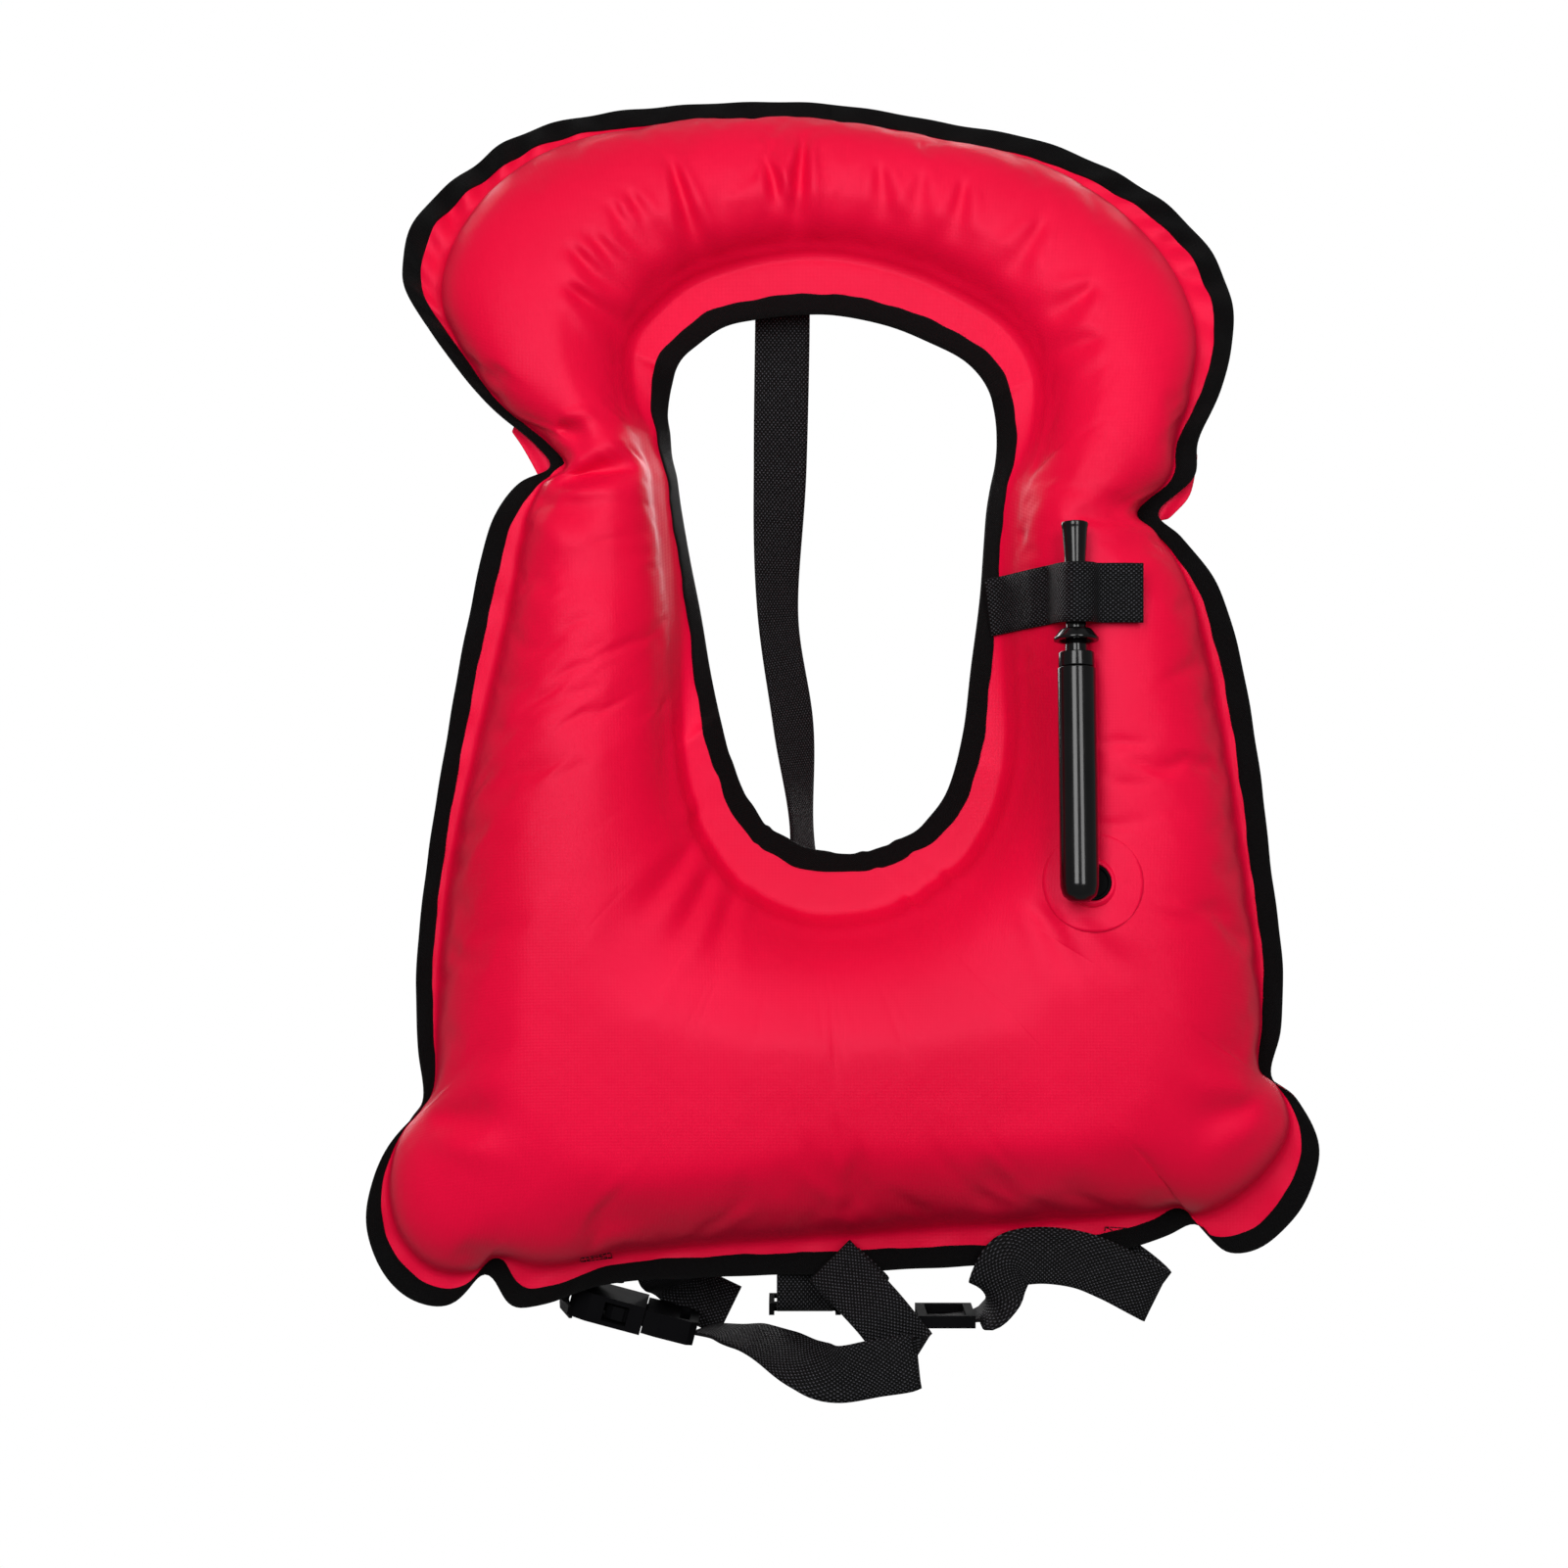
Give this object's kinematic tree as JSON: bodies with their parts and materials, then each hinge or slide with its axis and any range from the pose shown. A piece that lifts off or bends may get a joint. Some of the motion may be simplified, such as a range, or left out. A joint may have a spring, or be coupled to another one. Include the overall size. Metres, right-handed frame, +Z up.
{
  "type": "inflatable snorkelling vest",
  "caption": "Horse-collar inflatable vest with an oral inflator, keeper strap, back strap and buckled waist belt.",
  "frame": {"origin": "middle of the neck opening's upper edge, where the collar rests on the wearer's neck", "axes": "+Z up along the vest as worn, +X to the viewer's right when facing the chest, -Y forward out of the chest"},
  "size_m": [0.419, 0.1484, 0.5847],
  "materials": {
    "coated_nylon": "red coated nylon with a fine plain weave and a soft sheen",
    "binding_tape": "black woven edge tape, matt",
    "webbing": "black ribbed polypropylene webbing",
    "hook_and_loop": "black hook-and-loop pile",
    "inflator_plastic": "gloss black moulded plastic",
    "buckle_plastic": "black acetal, fine satin",
    "spring_steel": "bright wire",
    "seal_rubber": "matt black rubber"
  },
  "bodies": {
    "vest": {"front_panel": "coated_nylon", "back_panel": "coated_nylon", "outer_binding": "binding_tape", "neck_binding": "binding_tape", "valve_patch": "coated_nylon", "port_flange": "inflator_plastic", "port_elbow": "inflator_plastic", "inflator_tube": "inflator_plastic", "tube_collar": "inflator_plastic", "valve_housing": "inflator_plastic", "valve_spring": "spring_steel", "keeper_strap": "webbing", "keeper_loop_patch": "hook_and_loop", "back_strap": "webbing", "hem_tab": "webbing", "waist_belt_right": "webbing", "waist_belt_left": "webbing", "belt_tab_left": "webbing", "buckle_backing_flap": "webbing", "buckle_female": "buckle_plastic"},
    "inflator_button": {"mouthpiece": "inflator_plastic", "valve_stem": "inflator_plastic", "valve_seal": "seal_rubber"},
    "ring": {"lock_ring": "inflator_plastic"},
    "flap": {"keeper_flap": "webbing", "keeper_hook_patch": "hook_and_loop"},
    "back_slider": {"back_strap_slider": "buckle_plastic"},
    "waist_slider": {"belt_slider": "buckle_plastic"},
    "male_half": {"buckle_male": "buckle_plastic"},
    "front_arm": {"buckle_arm_front": "buckle_plastic"},
    "rear_arm": {"buckle_arm_rear": "buckle_plastic"}
  },
  "joints": [
    {"name": "valve_press", "type": "slide", "parent": "vest", "child": "inflator_button", "axis": [0, -0.1323, -0.9912], "range_m": [0, 0.0045], "stiffness_N_per_m": 700, "springref_m": -0.002, "deforming": ["valve_spring"]},
    {"name": "lock_ring_turn", "type": "hinge", "parent": "inflator_button", "child": "ring", "pos_m": [0.103, -0.07086, -0.144], "axis": [0, 0.1323, 0.9912], "range_deg": [0, 540]},
    {"name": "keeper_open", "type": "hinge", "parent": "vest", "child": "flap", "pos_m": [0.0932, -0.0555, -0.1255], "axis": [0, 0, -1], "range_deg": [0, 100]},
    {"name": "back_slider_slide", "type": "slide", "parent": "vest", "child": "back_slider", "axis": [0, 1, 0], "range_m": [0, 0.01]},
    {"name": "belt_slider_slide", "type": "slide", "parent": "vest", "child": "waist_slider", "axis": [-1, 0, 0], "range_m": [0, 0.008]},
    {"name": "buckle_release", "type": "slide", "parent": "vest", "child": "male_half", "axis": [0.9659, 0, -0.2588], "range_m": [0, 0.032], "deforming": ["waist_belt_left"]},
    {"name": "front_arm_squeeze", "type": "hinge", "parent": "male_half", "child": "front_arm", "pos_m": [-0.07904, -0.0164, -0.44609], "axis": [0.2588, 0, 0.9659], "range_deg": [0, 6.5], "stiffness_Nm_per_rad": 0.05},
    {"name": "rear_arm_squeeze", "type": "hinge", "parent": "male_half", "child": "rear_arm", "pos_m": [-0.07904, 0.0024, -0.44609], "axis": [-0.2588, 0, -0.9659], "range_deg": [0, 6.5], "stiffness_Nm_per_rad": 0.05}
  ],
  "couplings": [
    {"joint": "rear_arm_squeeze", "follows": "front_arm_squeeze", "ratio": 1}
  ]
}
